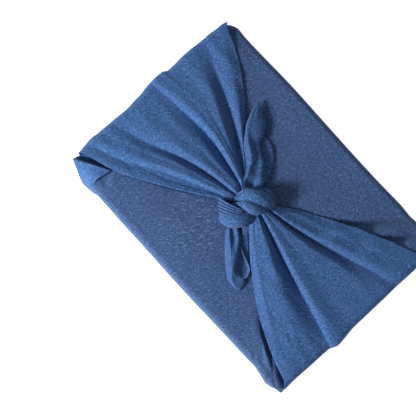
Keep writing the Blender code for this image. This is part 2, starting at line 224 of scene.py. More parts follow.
# Fold lines of the fans, low edge to high edge: name, Y at the reaches,
# lift over the flat top there, push of the end wall, crispness on the low
# side of the line and on its high side
LEFT_FOLDS = (
    ("low_hem", -96, -82.5, -59.5, -33, -20.5, 1.6, 2.6, 4.4, 7.0, 9.0, -2.6, 0.9, 0.9),
    ("low_shelf", -93, -79.5, -57, -31, -19.5, 1.6, 2.6, 4.0, 6.0, 8.5, -2.4, 0.2, 0.2),
    ("low_hollow", -86.5, -69.5, -46, -26, -18, 1.0, 0.6, 0.2, 2.4, 7.0, -1.2, 0.9, 2.2),
    ("low_ridge", -77, -61.5, -40, -22.5, -16, 1.8, 5.6, 8.8, 10.2, 11.0, -0.2, 0.1, 0.3),
    ("low_back", -66, -51, -32, -18, -13, 1.6, 4.2, 7.2, 9.4, 10.8, -0.8, 0.0, 0.0),
    ("second_hollow", -52, -39.5, -22.5, -12.5, -10, 1.0, 1.0, 0.4, 2.6, 7.5, -1.0, 0.7, 2.2),
    ("soft_ridge", -29, -24.5, -15.5, -8.5, -6, 2.0, 5.4, 8.4, 10.2, 11.5, -2.0, 0.0, 0.2),
    ("ridge_back", -14, -8.5, -3, -2, -2, 2.0, 4.0, 6.4, 8.6, 10.5, -0.5, 0.0, 0.0),
    ("deep_hollow", 7, 11, 12.5, 6, 2, 1.4, 0.2, -0.2, 1.0, 6.5, 2.6, 1.1, 3.0),
    ("main_crease", 15, 18, 17.5, 9.5, 4, 2.8, 6.8, 10.2, 12.4, 12.5, 2.8, 0.2, 0.4),
    ("rim_fold", 22, 25, 22, 11.5, 4.7, 2.2, 6.0, 9.4, 11.6, 12.0, 2.7, 0.0, 0.0),
    ("crease_back", 28, 33, 26, 12.8, 5.5, 1.2, 5.2, 8.4, 10.8, 11.5, -0.2, 0.0, 0.0),
    ("shoulder", 55, 48, 30.5, 14, 6.5, 2.0, 6.0, 8.6, 10.4, 11.0, 0.8, 0.3, 0.3),
    ("last_hollow", 80, 62, 43, 20, 8.5, 0.8, 0.4, -0.1, 0.8, 6.5, 0.0, 0.7, 2.2),
    ("last_ridge", 99, 77.5, 54, 24, 10.5, 1.6, 3.8, 5.6, 6.8, 9.0, -1.2, 0.1, 0.3),
    ("high_hem", 108, 89.5, 62, 27, 12.5, 1.0, 1.2, 1.6, 2.4, 6.0, -2.6, 0.6, 0.6),
)
RIGHT_FOLDS = (
    ("low_hem", -103.5, -88, -67.5, -40, -16.5, 2.0, 2.6, 3.4, 4.6, 8.0, -0.5, 0.9, 0.9),
    ("broad_ridge", -92, -77, -58, -33, -13.5, 2.6, 5.2, 7.0, 8.6, 10.0, -1.2, 0.0, 0.0),
    ("broad_back", -64, -52, -38.5, -19, -6.5, 1.8, 6.0, 9.2, 10.6, 11.5, -0.8, 0.1, 0.1),
    ("deep_hollow", -42.5, -31.5, -22, -10.5, -3, 0.6, -0.1, -0.4, 1.2, 7.5, -0.6, 1.1, 3.0),
    ("main_crease", -34.5, -25.5, -17, -7, -1, 2.8, 7.2, 10.4, 12.0, 12.0, 3.0, 0.2, 0.4),
    ("crease_back", -8, -6, -2, 0, 1, 1.2, 5.0, 8.4, 10.6, 11.5, 0.2, 0.0, 0.0),
    ("flat_ridge", 31, 22, 11.5, 4.5, 2.5, 1.8, 5.0, 8.3, 10.3, 11.0, -0.3, 0.1, 0.1),
    ("upper_hollow", 50, 37, 21.5, 9, 4.5, 0.6, -0.1, -0.4, 1.0, 7.0, -0.8, 0.9, 2.8),
    ("upper_ridge", 62, 45, 28, 13, 6, 1.8, 4.6, 6.6, 8.2, 10.0, -0.6, 0.2, 0.4),
    ("upper_back", 74, 58, 39, 22, 7, 1.2, 2.6, 3.6, 5.2, 8.5, -0.6, 0.0, 0.0),
    ("high_hem", 92, 74, 53, 29, 8, 0.7, 0.9, 1.1, 2.0, 6.5, -0.8, 0.6, 0.6),
)

# Small folds: name, X and Y where each begins and ends, height, half width on
# the right of the way there and on its left
PANEL_FOLDS = (
    ("near_trough", 73, 38, 116, 110, -6, 4.5, 8),
    ("far_trough", 111, 52, 135, 106, -5, 4, 7),
    ("knot_crease", 16, 46, 34, 31, -0.8, 2.2, 2.2),
)
FAN_SMALL_FOLDS = (
    ("near_nick", 20, 3, 32, 11, -0.9, 1.6, 1.6),
    ("high_nick", 22, 11, 31, 21, -0.9, 1.6, 1.6),
    ("near_arch", 74, 32, 101, 76.5, 4.6, 5.5, 4.5),
    ("far_arch", 111, 47, 131, 93, 3.6, 5, 4.5),
    ("low_wrinkle", 116, -56, 135, -64, 0.8, 2.6, 2.6),
    ("low_dent", 100, -66, 138, -84, -0.7, 5, 5),
)

# Rim of the parcel below the fans and flaps, anticlockwise from the low left
# corner: name, X, Y, drop of the top there, share of the way where it begins
CORE_RIM = (
    ("left_pocket", -154.5, -96, 15.0, 0.80),
    ("left_lip", -152, -100.5, 12.0, 0.84),
    ("left_face", -145.5, -103.5, 12.0, 0.84),
    ("left_turn", -136, -107, 10.0, 0.87),
    ("left_end", -122, -108, 3.0, 0.92),
    ("low_quarter", -60, -108, 5.0, 0.66),
    ("low_middle", 0, -108.5, 5.0, 0.66),
    ("low_far", 60, -108, 5.0, 0.66),
    ("low_end", 122, -107, 4.5, 0.75),
    ("ear_lobe", 140, -110, 8.0, 0.90),
    ("ear_tip", 154, -107, 9.0, 0.90),
    ("right_low", 155, -97, 4.0, 0.93),
    ("right_end", 155, -80, 2.0, 0.94),
    ("right_middle", 155, 0, 1.0, 0.95),
    ("right_high", 155, 74, 1.0, 0.94),
    ("right_rise", 156, 92, 1.0, 0.92),
    ("right_corner", 156, 106, 2.0, 0.90),
    ("hollow_corner", 128, 108.5, 1.6, 0.80),
    ("high_far", 60, 108, -1.4, 0.72),
    ("high_middle", 0, 109, -1.6, 0.72),
    ("high_quarter", -60, 110.5, -1.4, 0.72),
    ("lobe_end", -134, 110.5, 1.0, 0.92),
    ("top_lobe", -146, 111, 2.0, 0.92),
    ("top_corner", -154, 106.5, 3.0, 0.92),
    ("left_high", -155, 92, 1.0, 0.94),
    ("left_middle", -155, 0, 1.0, 0.95),
    ("left_low", -155, -82, 6.0, 0.90),
)

# Low flap, from the table up the wall and over the top: name, share of the
# way from the low edge to the middle (-1 at the table), X of its left edge and
# of its right edge
LOW_FLAP = (
    ("foot", -1.0, -124, 146),
    ("rim", 0.0, -125.5, 150),
    ("rim_in", 0.07, -125, 143),
    ("bend", 0.16, -122, 133),
    ("crossing", 0.27, -117, 120),
    ("hidden", 0.45, -86, 82),
    ("inner", 0.85, -28, 26),
)
FLAP_SHARES = np.array([row[1] for row in LOW_FLAP])
FLAP_ENDS = np.array([row[2:] for row in LOW_FLAP], float)

# Folds that stand at the two low corners, from the top down: name, X, Y, Z of
# the outer end of the section, X, Y, Z of its inner end, crown between them
LEFT_CORNER = (
    ("hidden", -148, -88, 37, -118, -80, 42, 0.5),
    ("pocket_high", -153.5, -93.5, 35, -119, -81, 42, -1.0),
    ("pocket", -155, -97.5, 34.5, -120, -82.5, 42, -1.5),
    ("pocket_low", -155.5, -101.5, 36, -120, -83.5, 43, -1.0),
    ("lip", -155, -104, 41, -120, -84.5, 47, 2.4),
    ("lip_in", -151.5, -105.5, 39.5, -120, -87, 47, 2.8),
    ("face", -146, -107.5, 37, -121, -93, 46.8, 2.6),
    ("low_face", -141, -109.5, 33, -122, -99, 46, 2.2),
    ("bend", -137, -111, 29, -122, -104, 42.5, 2.0),
    ("edge", -132.5, -112, 22, -121, -107, 36.5, 1.6),
    ("wall", -127.5, -111, 11, -119, -108, 24, 1.2),
    ("foot", -122, -109.5, 1.5, -115, -108.5, 12, 0.5),
)
RIGHT_CORNER = (
    ("top", 120, -84, 41, 128, -78, 42, 1.0),
    ("high", 131, -93.5, 43, 137, -88, 38, 1.0),
    ("middle", 140.5, -102, 40.5, 146, -95, 35, 2.0),
    ("low", 149, -107, 35, 153, -98, 31, 2.6),
    ("near", 154, -108, 28, 156.5, -101, 26, 2.4),
    ("end", 158, -106.5, 18, 158, -103, 18, 0.8),
)

# The knot has axes of its own from its middle: A across the ears, B along
# them, turned from X and Y as the camera is
KNOT_MIDDLE = np.array([0.0, -4.5])

# Bands of the knot, end to end: A, B, Z, half width, half thickness
KNOT_BANDS = {
    "knot_core": (
        (-20, -7.5, 47, 6, 4),
        (-10, -4.5, 49, 10, 7),
        (2, -0.5, 49, 11, 8),
        (14, 2.5, 47, 8, 6),
    ),
    "knot_upper": (
        (-14, 1.5, 48, 1.4, 2),
        (-9.5, 4.5, 53.5, 3.6, 4),
        (-4, 6, 57, 6, 6),
        (1, 6.5, 59, 7.4, 6.8),
        (6, 5, 59.5, 8.4, 7.2),
        (11, 3, 58.5, 8.6, 7.2),
        (15, 1, 57, 7.6, 6.8),
        (19.5, -1.5, 53, 5.4, 5.5),
        (23, -3, 47.5, 2.8, 3),
    ),
    "knot_inner": (
        (-15.5, 1.5, 49, 1.2, 2),
        (-13, 5.5, 54, 1.9, 2.6),
        (-8.5, 10, 57, 2.2, 3),
        (-2.5, 13, 58, 2, 2.6),
        (4, 14.5, 56, 1.4, 2),
    ),
    "knot_back": (
        (6, 13.5, 53, 2, 2.6),
        (13, 12, 56, 3, 3.4),
        (18.5, 10, 56, 3.6, 3.6),
        (22, 6, 54, 3.2, 3.4),
        (24, 2, 50, 2.2, 3),
        (24.5, -1, 46, 1.2, 2),
    ),
    "knot_middle": (
        (-14.5, 0, 54, 0.9, 2),
        (-10, -1, 58, 2.4, 3.2),
        (-5, -2.5, 60.5, 4.5, 4.3),
        (0, -5, 62, 5.6, 4.8),
        (5, -7, 61.5, 5.8, 4.8),
        (10, -8, 59.5, 3.9, 4),
        (15.5, -7.5, 54, 1.6, 2.5),
    ),
    "knot_lower": (
        (2, -7, 52, 2.5, 3),
        (-1, -12, 55, 4.8, 4.5),
        (-6.5, -16, 57, 6.6, 6),
        (-13.5, -17.5, 57.5, 7.5, 6.6),
        (-20, -17, 55.5, 7.4, 6.2),
        (-25.5, -14, 51, 5.8, 5),
        (-29, -11, 46, 3, 3),
    ),
}
# The first and the last of the pleats between the knot's two lobes
PLEAT_LETTERS = "abcde"
PLEAT_FIRST = (
    (-5, -8, 57.5, 1.0, 2.6),
    (-14, -5, 59, 1.15, 3.2),
    (-22.5, -0.5, 57.5, 1.25, 3),
    (-28.5, 4, 52.5, 1.35, 2.4),
    (-31.5, 6.5, 46.5, 1.2, 1.4),
)
PLEAT_LAST = (
    (-5, -14, 56, 1.0, 2.4),
    (-14, -14, 57.5, 1.15, 2.8),
    (-22, -12.5, 56.5, 1.3, 2.6),
    (-28, -9.5, 52, 1.35, 2.2),
    (-31, -7.5, 46.5, 1.2, 1.4),
)

# Free ears, from the knot to the tip: name, B of the section, A of its left
# rim, of its ridge and of its right rim, then Z of the left rim, of the ridge
# and of the four EAR_SHARES of the way from the ridge to the right rim
EAR_SHARES = (0.25, 0.5, 0.8, 1.0)
UPPER_EAR = (
    ("root", 14, -6, -4, 11, 50, 53, 51, 49.5, 52, 49.5),
    ("mouth", 19, -8.7, -6.7, 13.3, 50, 55, 50.5, 48.6, 51.5, 50),
    ("lip", 23.5, -8.5, -6, 14.3, 50, 56, 53, 51.2, 52.5, 50.5),
    ("arch", 28, -6.5, -3.5, 14.6, 50, 56.5, 55.5, 53.5, 53.2, 50.5),
    ("neck", 35, -5, -1.2, 15, 49, 56, 54, 52.6, 52.6, 50.2),
    ("low", 43.5, -6.2, 1, 14.3, 48.5, 56, 53.8, 52.2, 52.2, 50),
    ("belly", 53.5, -7, 0, 11.3, 48.5, 56, 53.8, 52, 52, 49.5),
    ("waist", 62.5, -7, -2, 10.4, 48.5, 55.5, 53.5, 52, 51.5, 49.5),
    ("swell", 72.5, -4.4, -2.8, 14.6, 49, 54, 53.5, 53, 51.5, 49),
    ("broad", 82.5, -2.8, -1.2, 16, 49.5, 53, 53, 52.5, 50.5, 48.5),
    ("upper", 92.5, 1.3, 2.5, 13, 49.5, 52, 51.5, 51.5, 50, 48.5),
    ("nib", 99.5, 5.4, 6.2, 10.8, 49, 50, 50, 50, 49.5, 48),
    ("tip", 105, 8.7, 8.9, 9.9, 47.8, 48.3, 48.3, 48.2, 48, 47.6),
)
LOWER_EAR = (
    ("root", -24.3, -23.5, -21, -11.5, 47, 52, 50.5, 50.5, 52.2, 49),
    ("neck", -32, -24.5, -21, -9.7, 46.5, 51.8, 49.6, 49.4, 52, 49),
    ("hollow", -40.5, -25, -20.5, -10, 46.5, 52, 51, 50.6, 52, 49),
    ("belly", -48.5, -25, -20, -11.5, 46.5, 52.2, 52.6, 52.6, 52, 48),
    ("waist", -58, -24.7, -19.5, -13, 46.5, 52, 52.6, 52.4, 51, 47.5),
    ("fold", -68.5, -23.7, -19, -12, 46.5, 51.8, 52.2, 51.5, 49.5, 47.5),
    ("toe", -75.5, -21.7, -18.5, -4.5, 46.5, 51.5, 50.5, 49.5, 49, 47),
    ("heel", -80.5, -18, -16, -6.2, 46.5, 49.5, 49.3, 48.8, 48.2, 47),
    ("tip", -85.5, -13, -12.4, -10.2, 46.5, 47.3, 47.3, 47.2, 47, 46.6),
)
EAR_LEAF = (
    ("top", -42, -11.5, -11, -9.4, 48.5, 48.6, 48.8, 49, 49.4, 50.4),
    ("neck", -50.5, -13.5, -12, -6.4, 47, 46.8, 46.6, 46.4, 46.9, 50),
    ("bowl", -57, -14.5, -12, -3, 47, 46.6, 46.3, 46, 46.3, 49.8),
    ("broad", -64, -15, -11, -0.3, 47, 46.6, 46.3, 46, 46.1, 49.6),
    ("foot", -69.5, -14.5, -11, -1, 47, 46.6, 46.4, 46.4, 47, 49.8),
    ("end", -74, -13.5, -11, -3.5, 48.5, 48.8, 49, 49.2, 49.6, 50),
)
EAR_UNDER = (
    ("top", 71, 8, 9, 12.5, 45.8, 46, 46.1, 46.1, 46, 45.6),
    ("high", 67.5, 7, 8, 17.5, 45.8, 46, 46.1, 46.1, 46, 45.6),
    ("broad", 62, 7, 8, 21.5, 45.8, 46, 46.2, 46.2, 46.1, 45.6),
    ("wide", 53, 7, 8, 24, 45.8, 46, 46.3, 46.4, 46.2, 45.6),
    ("low", 43.5, 8, 9, 23.5, 45.8, 46, 46.3, 46.4, 46.2, 45.6),
    ("neck", 32, 8, 9, 20.5, 46, 46.5, 46.8, 46.8, 46.6, 45.8),
    ("root", 22, 7, 8, 16.5, 47, 48, 48.5, 48.5, 48, 46.5),
)
EAR_STRIP = (
    ("top", -22, -7, -5, -1, 50, 51.5, 51.5, 51.3, 51, 48),
    ("high", -31.5, -9.5, -7.5, -1.4, 47, 48.6, 48.6, 48.6, 48.4, 47),
    ("middle", -41.5, -10, -7.5, -1, 46.4, 47.4, 47.4, 47.4, 47.2, 46.2),
    ("low", -51.5, -7, -4.8, -0.7, 46, 46.8, 46.8, 46.8, 46.6, 46),
    ("end", -59, -3, -2.5, -0.2, 45.8, 46.3, 46.3, 46.3, 46.2, 45.8),
)


# Helpers
def curve(stations, values, at):
    """Smooth curve through the stations; values may hold several columns."""
    x = np.asarray(stations, float)
    y = np.asarray(values, float)
    if x[0] > x[-1]:
        x = x[::-1]
        y = y[::-1]
    slope = np.gradient(y, x, axis=0)
    at = np.clip(np.asarray(at, float), x[0], x[-1])
    i = np.clip(np.searchsorted(x, at) - 1, 0, len(x) - 2)
    gap = x[i + 1] - x[i]
    u = (at - x[i]) / gap
    if y.ndim == 2:
        u = u[:, None]
        gap = gap[:, None]
    low = (1 + 2 * u) * (1 - u) ** 2 * y[i] + u * (1 - u) ** 2 * gap * slope[i]
    high = u ** 2 * (3 - 2 * u) * y[i + 1] - u ** 2 * (1 - u) * gap * slope[i + 1]
    return low + high


def ripple(x, y, seed, wave, turn=None, spread=math.pi):
    """Soft uneven relief, about -1 to 1: a few waves of mixed directions."""
    rng = np.random.default_rng(seed)
    total = np.zeros(np.shape(x))
    for _ in range(RIPPLE_WAVES):
        if turn is None:
            angle = rng.uniform(0, math.pi)
        else:
            angle = turn + rng.uniform(-spread, spread)
        size = wave * rng.uniform(0.6, 1.7)
        phase = rng.uniform(0, 2 * math.pi)
        along = x * math.cos(angle) + y * math.sin(angle)
        total += np.sin(2 * math.pi * along / size + phase)
    return total / RIPPLE_SHARE


def smooth_step(low, high, x):
    """0 at low and 1 at high, with soft ends; low may be the larger one."""
    t = np.clip((x - low) / (high - low), 0, 1)
    return t * t * (3 - 2 * t)


def way_along(points):
    """Length of the way from the first point to each point."""
    steps = np.linalg.norm(np.diff(points, axis=0), axis=1)
    return np.concatenate([[0], np.cumsum(steps)])


def from_knot(a, b):
    """Row-frame X, Y of a place given along the knot's own axes."""
    return KNOT_MIDDLE + np.multiply.outer(a, WEAVE_X) + np.multiply.outer(b, WEAVE_Y)


def pulled_in(plan, gap):
    """X, Y of the plan moved towards the middle by a gap at the rim."""
    return plan * (1 - gap / HALF_SIZE)


def drawn_to(plan, half_foot):
    """X, Y of the plan drawn in to a foot of these half sizes."""
    return plan * np.min(half_foot / np.abs(plan), axis=1, keepdims=True).clip(0, 1)


def ring_at(plan, height):
    """Ring of points: X, Y of the plan and a height for each."""
    return np.concatenate([plan, height[:, None]], axis=1)


def edge_rings(rim, top, turns):
    """Rings of a rounded edge, from the flat top down to the wall."""
    rings = []
    for turn in turns:
        plan = pulled_in(rim, EDGE_ROUND * (1 - math.sin(turn)))
        rings.append(ring_at(plan, top - EDGE_ROUND * (1 - math.cos(turn))))
    return rings


def small_folds(table, x, y):
    """Height of short straight ridges (+) and troughs (-) at X, Y."""
    total = 0.0
    for _, x0, y0, x1, y1, height, right, left in table:
        way = np.array([x1 - x0, y1 - y0], float)
        length = np.linalg.norm(way)
        way /= length
        t = ((x - x0) * way[0] + (y - y0) * way[1]) / length
        off = -(x - x0) * way[1] + (y - y0) * way[0]
        fade = smooth_step(-0.2, 0.25, t) * smooth_step(1.2, 0.8, t)
        width = np.where(off < 0, right, left)
        total = total + height * np.exp(-((off / width) ** 2)) * fade
    return total


def weave_uv(x, y):
    """Thread directions of the cloth, diagonal to the box, in metres."""
    u = (x * WEAVE_X[0] + y * WEAVE_X[1]) * MM
    v = (x * WEAVE_Y[0] + y * WEAVE_Y[1]) * MM
    return np.stack([u, v], axis=-1)


def unfolded_uv(points, side_axis):
    """Weave coordinates that carry on over the edge and down the wall."""
    x = points[..., 0]
    y = points[..., 1]
    drop = np.clip(FLAT_TOP - points[..., 2], 0, None)
    if side_axis == 0:
        return weave_uv(x + np.sign(x) * drop, y)
    return weave_uv(x, y + np.sign(y) * drop)


def grid_faces(rows, cols, closed, caps):
    """Quads of a grid, and its two end faces where it is capped."""
    index = np.arange(rows * cols).reshape(rows, cols)
    if closed:
        index = np.concatenate([index, index[:, :1]], axis=1)
    corners = (index[:-1, :-1], index[:-1, 1:], index[1:, 1:], index[1:, :-1])
    faces = np.stack([corner.ravel() for corner in corners], axis=1).tolist()
    if caps:
        faces.append(index[0, :cols][::-1].tolist())
        faces.append(index[-1, :cols].tolist())
    return faces


def grid_piece(name, points, uv, closed=False, thick=0.0, caps=False):
    """Mesh of a grid of points (rows, columns, 3) in millimetres."""
    mesh = bpy.data.meshes.new(name)
    faces = grid_faces(*points.shape[:2], closed, caps)
    mesh.from_pydata((points.reshape(-1, 3) * MM).tolist(), [], faces)
    layer = mesh.uv_layers.new(name="weave")
    loops = np.empty(len(mesh.loops), dtype=np.int64)
    mesh.loops.foreach_get("vertex_index", loops)
    layer.data.foreach_set("uv", uv.reshape(-1, 2)[loops].ravel())
    mesh.polygons.foreach_set("use_smooth", [True] * len(mesh.polygons))
    mesh.update()
    piece = bpy.data.objects.new(name, mesh)
    bpy.context.scene.collection.objects.link(piece)
    if thick:
        solid = piece.modifiers.new("cloth", "SOLIDIFY")
        solid.thickness = thick * MM
        solid.offset = 0.0
    return piece


def place(piece, material):
    """Gives a piece its material and ties it to the frame."""
    piece.data.materials.append(material)
    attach(piece, "root")
    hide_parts(NODE)
    return piece


# Materials
class ShaderKit:
    """Short ways to add the shader nodes of one material."""

    def __init__(self, material):
        material.use_nodes = True
        self.nodes = material.node_tree.nodes
        self.links = material.node_tree.links
        self.nodes.clear()
        self.spot = self.nodes.new("ShaderNodeTexCoord")

    def fill(self, node, inputs):
        """Links the sockets and sets the plain values at a node's inputs."""
        for key, value in inputs.items():
            if isinstance(value, bpy.types.NodeSocket):
                self.links.new(value, node.inputs[key])
            else:
                node.inputs[key].default_value = value
        return node

    def add(self, kind, inputs):
        return self.fill(self.nodes.new(kind), inputs)

    def noise(self, size, detail, rough, stretch=(1.0, 1.0, 1.0), source="Object"):
        """Noise of a grain size in metres, drawn out where stretch is below 1."""
        where = {"Vector": self.spot.outputs[source], "Scale": stretch}
        values = {
            "Vector": self.add("ShaderNodeMapping", where).outputs[0],
            "Scale": 1.0 / size,
            "Detail": detail,
            "Roughness": rough,
        }
        return self.add("ShaderNodeTexNoise", values).outputs["Fac"]

    def ramp(self, source, low, high):
        """0 at low and 1 at high."""
        values = {"Value": source, "From Min": low, "From Max": high}
        return self.add("ShaderNodeMapRange", values).outputs["Result"]

    def mixed(self, share, first, second):
        """The first colour, with a share of the second."""
        node = self.nodes.new("ShaderNodeMix")
        node.data_type = "RGBA"
        self.fill(node, {"Factor": share, MIX_FIRST: first, MIX_SECOND: second})
        return node.outputs[MIX_RESULT]

    def maths(self, kind, first, second):
        node = self.nodes.new("ShaderNodeMath")
        node.operation = kind
        return self.fill(node, {0: first, 1: second}).outputs[0]

    def total(self, first, second):
        return self.maths("ADD", first, second)

    def product(self, first, second):
        return self.maths("MULTIPLY", first, second)


def tinted(tone, red, green, blue):
    """The tone with each of its colours brightened or darkened."""
    return (tone[0] * red, tone[1] * green, tone[2] * blue, 1.0)


def thread_mix(kit):
    """How light the crossing threads are at a place."""
    over = kit.noise(THREAD_GRAIN, 2.0, 0.7, (0.42, 1.0, 1.0), "UV")
    under = kit.noise(THREAD_GRAIN, 2.0, 0.7, (1.0, 0.50, 1.0), "UV")
    fine = kit.noise(FINE_GRAIN, 1.0, 0.6)
    return kit.total(kit.total(over, under), kit.product(fine, 0.7))


def thread_colour(kit, threads, grain, tone):
    """Dark and light threads, uneven dye and a few pale threads."""
    colour = kit.mixed(grain, tinted(tone, *DEEP_THREAD), tinted(tone, *LIGHT_THREAD))
    dye = kit.ramp(kit.noise(DYE_CLOUD, 2.0, 0.5), 0.35, 0.65)
    colour = kit.mixed(kit.product(dye, 0.45), colour, tinted(tone, *WARM_DYE))
    bright = kit.ramp(threads, 1.46, 1.72)
    return kit.mixed(kit.product(bright, 0.34), colour, PALE_THREAD)


def add_slubs(kit, colour, slub):
    """Pale streaks along the threads, in one patch of the low panel."""
    streak = kit.ramp(kit.noise(SLUB_WIDTH, 1.0, 0.5, (0.16, 1.0, 1.0), "UV"), 0.60, 0.74)
    where = {"Vector": kit.spot.outputs["Object"], "Location": SLUB_PLACE, "Scale": SLUB_SIZE}
    mapping = kit.add("ShaderNodeMapping", where)
    patch = kit.add("ShaderNodeTexGradient", {"Vector": mapping.outputs[0]})
    patch.gradient_type = "SPHERICAL"
    ragged = kit.total(patch.outputs["Fac"], kit.noise(0.012, 1.0, 0.5))
    share = kit.product(streak, kit.ramp(ragged, 0.62, 1.0))
    return kit.mixed(kit.product(share, slub), colour, PALE_THREAD)


def add_flecks(kit, colour):
    """Sparse pale flecks."""
    values = {"Vector": kit.spot.outputs["Object"], "Scale": 1.0 / FLECK_SPACING}
    cells = kit.add("ShaderNodeTexVoronoi", values)
    near = kit.ramp(cells.outputs["Distance"], 0.13, 0.07)
    chance = kit.add("ShaderNodeSeparateColor", {0: cells.outputs["Color"]})
    some = kit.ramp(chance.outputs[0], 0.62, 1.0)
    share = kit.product(kit.product(near, some), 0.70)
    return kit.mixed(share, colour, PALE_THREAD)


def weave_bands(kit, direction):
    """Bands of the threads that run one way."""
    values = {
        "Vector": kit.spot.outputs["UV"],
        "Scale": 1.0 / (2.0 * THREAD_PITCH),
        "Distortion": 1.2,
        "Detail": 1.0,
    }
    wave = kit.add("ShaderNodeTexWave", values)
    wave.wave_type = "BANDS"
    wave.bands_direction = direction
    return kit.product(wave.outputs["Fac"], 0.5)


def weave_relief(kit, grain):
    """Normal of the cloth: soft unevenness with the weave and grain on it."""
    uneven = {"Strength": 0.35, "Distance": 0.0016, "Height": kit.noise(0.011, 2.0, 0.5)}
    soft = kit.add("ShaderNodeBump", uneven)
    bands = kit.total(weave_bands(kit, "X"), weave_bands(kit, "Y"))
    height = kit.total(bands, kit.product(grain, 1.1))
    weave = {"Strength": 0.45, "Distance": 0.00035, "Height": height, "Normal": soft.outputs[0]}
    return kit.add("ShaderNodeBump", weave).outputs[0]


def cloth_material(name, tone, slub):
    """Matt cotton: mixed threads, pale flecks and slubs, fine weave relief.

    tone is the colour of the threads, set per piece with painted light and shade in it, and slub the
    share of pale streaks."""
    material = bpy.data.materials.new(name)
    kit = ShaderKit(material)
    threads = thread_mix(kit)
    grain = kit.ramp(threads, 1.12, 1.60)
    colour = thread_colour(kit, threads, grain, tone)
    colour = add_slubs(kit, colour, slub)
    colour = add_flecks(kit, colour)
    values = {
        "Base Color": colour,
        "Roughness": 0.92,
        "Specular IOR Level": 0.12,
        "Sheen Weight": 0.28,
        "Sheen Roughness": 0.45,
        "Sheen Tint": (0.55, 0.70, 1.0, 1.0),
        "Normal": weave_relief(kit, grain),
    }
    shader = kit.add("ShaderNodeBsdfPrincipled", values)
    kit.add("ShaderNodeOutputMaterial", {"Surface": shader.outputs[0]})
    return material


# Fans
def ease(start, end, crisp_start, crisp_end, u):
    """From start to end; where crisp is above 0 it leaves that end steeper."""
    rise = end - start
    bend = u * (1 - u) ** 2 * crisp_start - u ** 2 * (1 - u) * crisp_end
    return start + rise * (u ** 2 * (3 - 2 * u) + bend)


def fold_lines(folds, reach, run):
    """For each fold line: Y, lift, rim Y, wall push and its two crispnesses."""
    lines = []
    for fold in folds:
        y = curve(reach, fold[1:6], run)
        lift = curve(reach, fold[6:11], run)
        lines.append((y, lift, fold[1], *fold[11:]))
    return lines


def fan_strips(lines):
    """Y and lift along the run, rim Y and wall push of each line of the grid."""
    strips = []
    for low, high in zip(lines[:-1], lines[1:]):
        low_y, low_lift, low_edge, low_push, _, low_crisp = low
        high_y, high_lift, high_edge, high_push, high_crisp, _ = high
        for step in range(FAN_STRIPS):
            u = step / FAN_STRIPS
            strips.append((
                low_y * (1 - u) + high_y * u,
                ease(low_lift, high_lift, low_crisp, high_crisp, u),
                low_edge * (1 - u) + high_edge * u,
                ease(low_push, high_push, 0.0, 0.0, u),
            ))
    strips.append(lines[-1][:4])
    along, lift, rim_y, push = (np.array(column) for column in zip(*strips))
    return along.T, lift.T, rim_y, push


def fan_relief(x, y, share, seed):
    """Fine gathers near the knot, faint wrinkles further out."""
    waver = GATHER_WAVER * ripple(x, y, seed, 60.0)
    gather = np.sin(np.arctan2(y, x) * GATHER_COUNT + waver) * (1 - share) ** 3
    drift = ripple(x, y * 3.2, seed + 1, 58.0, math.pi / 2, 0.35)
    dents = ripple(x, y, seed + 2, 34.0)
    wrinkles = DRIFT_HEIGHT * drift + DENT_HEIGHT * dents
    return GATHER_HEIGHT * gather + wrinkles * np.clip(share * 4, 0, 1)


def fan_top(folds, reach, side, seed):
    """Grid of the fan's top from the knot to the edge, its rim and wall push."""
    share = np.linspace(0, 1, FAN_RINGS)
    run = reach[-1] + (HALF_LENGTH - EDGE_ROUND - reach[-1]) * share
    along, lift, rim_y, push = fan_strips(fold_lines(folds, reach, run))
    rim = np.stack([HALF_LENGTH + push, rim_y], axis=-1)
    goal = pulled_in(rim, EDGE_ROUND)
    share = share[:, None]
    x = run[:, None] + (goal[:, 0] - run[-1]) * share ** 3
    y = along + (goal[:, 1] - along[-1]) * share ** 3
    z = FLAT_TOP + lift + fan_relief(x, y, share, seed)
    if side > 0:
        z = z + small_folds(FAN_SMALL_FOLDS, x, y)
    return np.stack([side * x, y, z], axis=-1), rim * (side, 1), push


def gathered_end(ring, side):
    """Rings that draw the fan's first ring together below the knot."""
    x, y, z, end = GATHER_RIGHT if side > 0 else GATHER_LEFT
    middle = np.array([x, y, z])
    pulls = np.linspace(end, 1, GATHER_RINGS + 1)[:-1, None, None]
    return middle + (ring - middle) * pulls


def fan_wall(wall_top, rim_y, push, side, seed):
    """Rings of the end wall: its folds spread and fade towards the table."""
    plain = np.stack([np.full_like(rim_y, side * HALF_LENGTH), rim_y], axis=-1)
    foot = drawn_to(plain, FAN_FOOT)
    rings = []
    for depth in np.linspace(0, 1, WALL_RINGS + 1)[1:]:
        height = WALL_END + (wall_top - WALL_END) * (1 - depth)
        ground = foot * depth + plain * (1 - depth)
        spread = np.interp(rim_y * (1 - FOLD_SPREAD * depth), rim_y, push)
        uneven = ripple(rim_y * 2.4, height, seed + 3, 52.0) * math.sin(math.pi * depth)
        out = spread * (1 - FOLD_FADE * depth) - WALL_LEAN * depth + WALL_RELIEF * uneven
        ground[:, 0] += side * out
        rings.append(ring_at(ground, height))
    return rings


def fan_surface(folds, reach, side, seed):
    """Grid of the fan: rings from the knot over the edge down to the table."""
    top, rim, push = fan_top(folds, reach, side, seed)
    turns = np.radians(np.linspace(0, 90, EDGE_RINGS + 1)[1:])
    edge_top = top[-1, :, 2]
    rings = edge_rings(rim, edge_top, turns)
    rings += fan_wall(edge_top - EDGE_ROUND, rim[:, 1], push, side, seed)
    return np.concatenate([gathered_end(top[0], side), top, np.array(rings)], axis=0)


